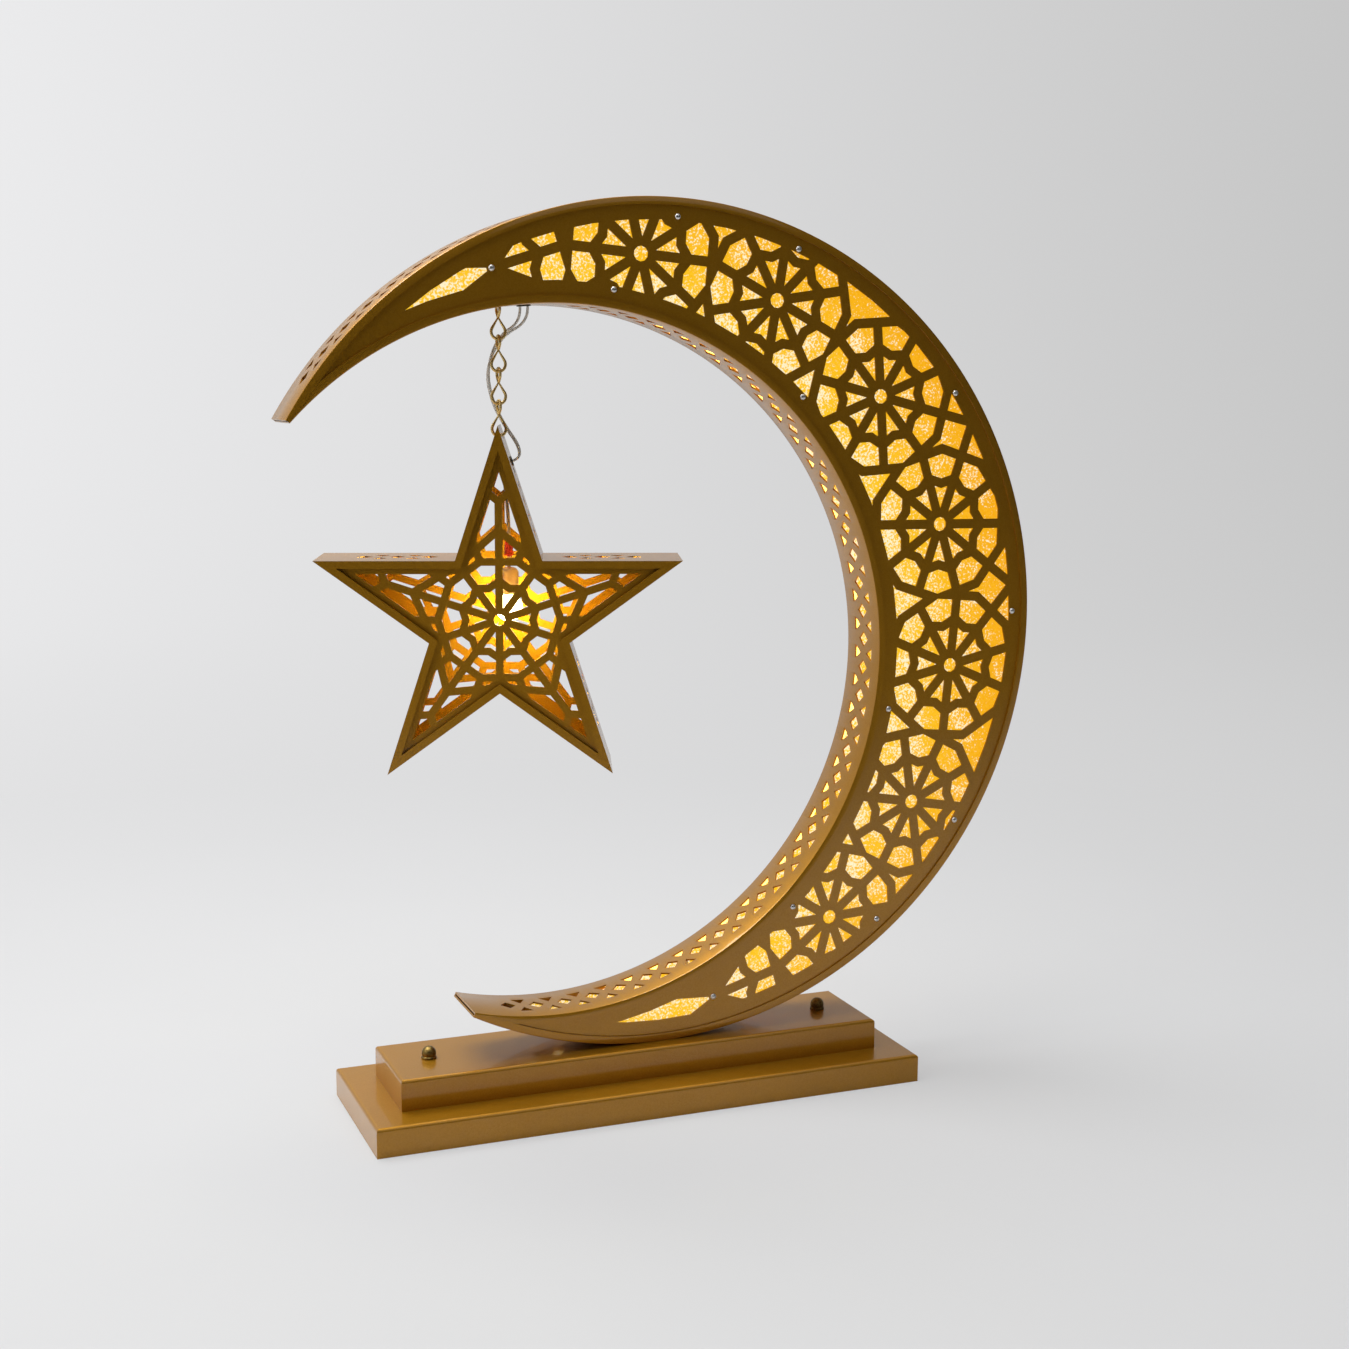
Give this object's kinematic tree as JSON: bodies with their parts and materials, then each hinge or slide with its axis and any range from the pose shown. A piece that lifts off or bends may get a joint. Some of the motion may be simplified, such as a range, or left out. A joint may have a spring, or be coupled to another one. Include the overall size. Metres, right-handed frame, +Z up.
{
  "type": "crescent lantern ornament",
  "caption": "Pierced metal crescent on a stepped plinth, lit from inside, with a pierced star lantern hung on a short chain in its opening.",
  "frame": {"origin": "centre of the underside of the base", "axes": "+X to the right along the plinth, +Y to the back, +Z up"},
  "size_m": [0.6539, 0.1646, 0.75],
  "materials": {
    "gold_paint": "glossy metallic gold paint",
    "antique_brass": "antique brass",
    "base_cover": "black paint",
    "steel": "zinc plated",
    "rivet": "bright",
    "chain": "brass-plated wire",
    "diffuser": "gold-flecked translucent sheet",
    "led_strip": "silicone sleeve",
    "driver_case": "moulded",
    "lead": "insulated wire",
    "clear_cable": "clear insulation",
    "rubber": "soft",
    "connector": "moulded",
    "lamp_holder": "moulded",
    "bulb": "warm frosted glass"
  },
  "bodies": {
    "stand": {"lower_plinth": "gold_paint", "upper_plinth": "gold_paint", "base_cover": "base_cover", "cover_screws": "steel", "finials": "antique_brass", "finial_nuts": "steel", "seat_bolts": "steel", "seat_nuts": "steel", "led_driver": "driver_case", "strip_lead": "lead", "inlet_grommet": "rubber", "outer_rim": "gold_paint", "inner_rim": "gold_paint", "front_plate": "gold_paint", "back_plate": "gold_paint", "front_diffuser": "diffuser", "back_diffuser": "diffuser", "front_rivets": "rivet", "led_strip": "led_strip", "rim_bush": "rubber", "star_cable": "clear_cable"},
    "link_1": {"chain_link_1": "chain"},
    "link_2": {"chain_link_2": "chain"},
    "link_3": {"chain_link_3": "chain"},
    "link_4": {"chain_link_4": "chain"},
    "star": {"star_arm_top": "gold_paint", "star_arm_left": "gold_paint", "star_arm_lower_left": "gold_paint", "star_arm_lower_right": "gold_paint", "star_arm_right": "gold_paint", "star_front_plate": "gold_paint", "star_back_plate": "gold_paint", "star_bush": "rubber", "lamp_lead": "lead", "wire_connector": "connector", "lamp_holder": "lamp_holder", "lamp_bulb": "bulb"}
  },
  "joints": [
    {"name": "link_1_swing", "type": "hinge", "parent": "stand", "child": "link_1", "pos_m": [-0.113, 0, 0.66484], "axis": [0, 1, 0], "range_deg": [-15, 9], "deforming": ["star_cable"]},
    {"name": "link_2_rock", "type": "hinge", "parent": "link_1", "child": "link_2", "pos_m": [-0.113, 0, 0.63664], "axis": [1, 0, 0], "range_deg": [-22, 22], "deforming": ["star_cable"]},
    {"name": "link_3_swing", "type": "hinge", "parent": "link_2", "child": "link_3", "pos_m": [-0.113, 0, 0.61384], "axis": [0, 1, 0], "range_deg": [-15, 9], "deforming": ["star_cable"]},
    {"name": "link_4_rock", "type": "hinge", "parent": "link_3", "child": "link_4", "pos_m": [-0.113, 0, 0.58564], "axis": [1, 0, 0], "range_deg": [-22, 22], "deforming": ["star_cable"]},
    {"name": "star_turn", "type": "hinge", "parent": "link_4", "child": "star", "pos_m": [-0.113, 0, 0.56014], "axis": [0, 0, 1], "range_deg": [-22, 22], "deforming": ["star_cable"]}
  ]
}
